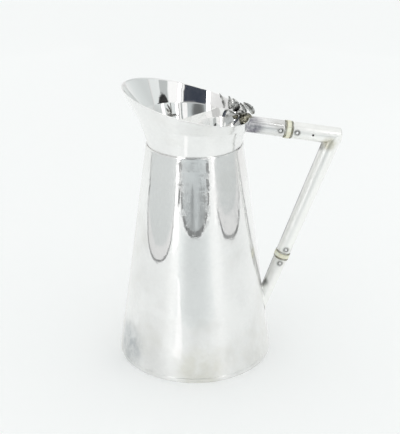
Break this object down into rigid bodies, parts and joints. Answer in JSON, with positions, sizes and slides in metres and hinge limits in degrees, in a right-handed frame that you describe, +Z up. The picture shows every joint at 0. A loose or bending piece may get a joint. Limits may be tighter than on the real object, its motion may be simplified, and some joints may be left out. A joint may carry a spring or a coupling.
{
  "type": "water pitcher",
  "caption": "Silver water pitcher: conical body, flared collar with a pouring lip, tubular angular handle with bone insulators, leaf-spray thumbpiece, foot ring",
  "frame": {"origin": "on the body's axis at the resting face, the flat underside of the base plate and foot ring", "axes": "+Z up along the body's axis, the lip points along -X and the handle along +X, Y across"},
  "size_m": [0.1607, 0.1144, 0.2041],
  "materials": {
    "polished_silver": "polished silver plate with fine wear",
    "cast_silver": "cast silver with darkened recesses",
    "bone": "satin ivory-coloured bone"
  },
  "bodies": {
    "root": {"body": "polished_silver", "base_plate": "polished_silver", "foot_ring": "polished_silver", "collar": "polished_silver", "upper_handle_socket": "polished_silver", "handle_upper_arm": "polished_silver", "handle_diagonal_arm": "polished_silver", "handle_corner_cap": "polished_silver", "lower_handle_socket": "polished_silver", "upper_insulator": "bone", "upper_inner_ferrule": "polished_silver", "upper_outer_ferrule": "polished_silver", "upper_inner_pin": "polished_silver", "upper_outer_pin": "polished_silver", "lower_insulator": "bone", "lower_inner_ferrule": "polished_silver", "lower_outer_ferrule": "polished_silver", "lower_inner_pin": "polished_silver", "lower_outer_pin": "polished_silver", "thumbpiece_saddle": "cast_silver", "thumbpiece_knot": "cast_silver", "thumbpiece_stem": "cast_silver", "thumb_leaf_back": "cast_silver", "thumb_leaf_middle": "cast_silver", "thumb_leaf_front": "cast_silver", "thumb_leaf_far": "cast_silver", "thumb_leaf_left": "cast_silver", "thumb_leaf_near": "cast_silver"}
  },
  "joints": []
}
